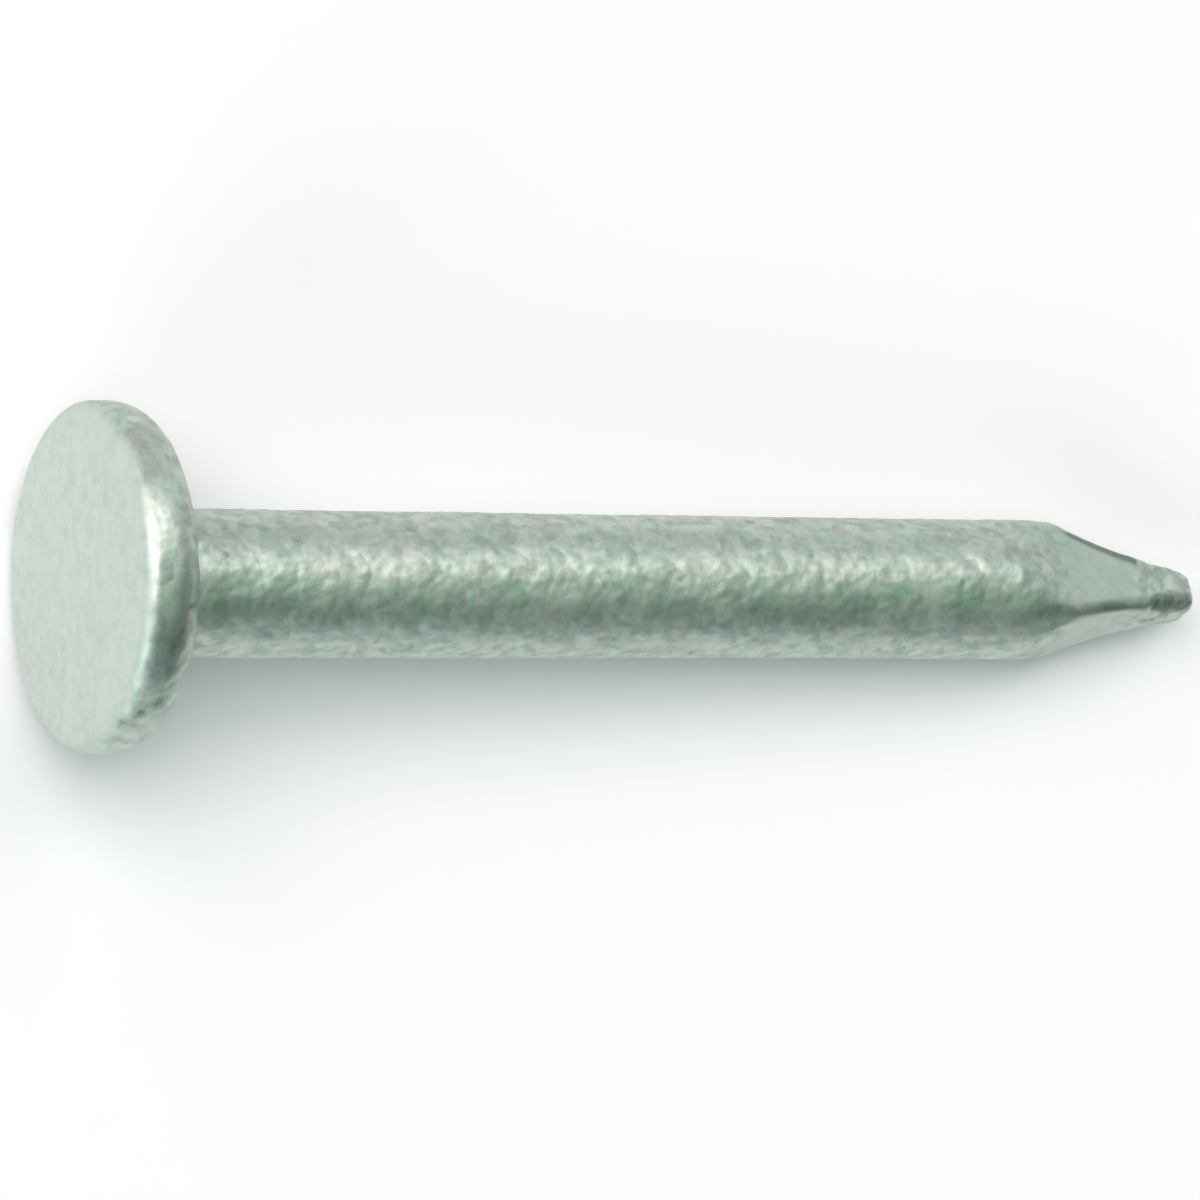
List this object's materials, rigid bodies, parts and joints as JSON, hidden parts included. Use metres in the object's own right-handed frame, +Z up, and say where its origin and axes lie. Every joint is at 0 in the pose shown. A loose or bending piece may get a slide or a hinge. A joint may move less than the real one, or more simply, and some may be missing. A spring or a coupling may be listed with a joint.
{
  "type": "clout nail",
  "caption": "Hot-dip galvanised clout nail with a broad flat round head, a plain stout round shank and a blunt four-sided diamond point.",
  "frame": {"origin": "on the nail's axis, in the plane of the underside of the head, which bears on the held material", "axes": "+X along the axis from the head towards the point, +Z up, +Y completes the right-handed frame; the nail lies along X"},
  "size_m": [0.0272, 0.0075, 0.0074],
  "materials": {
    "galvanised_zinc": "matte",
    "drawn_steel": "satin"
  },
  "bodies": {
    "root": {"galvanised_coating": "galvanised_zinc", "steel_body": "drawn_steel"}
  },
  "joints": []
}
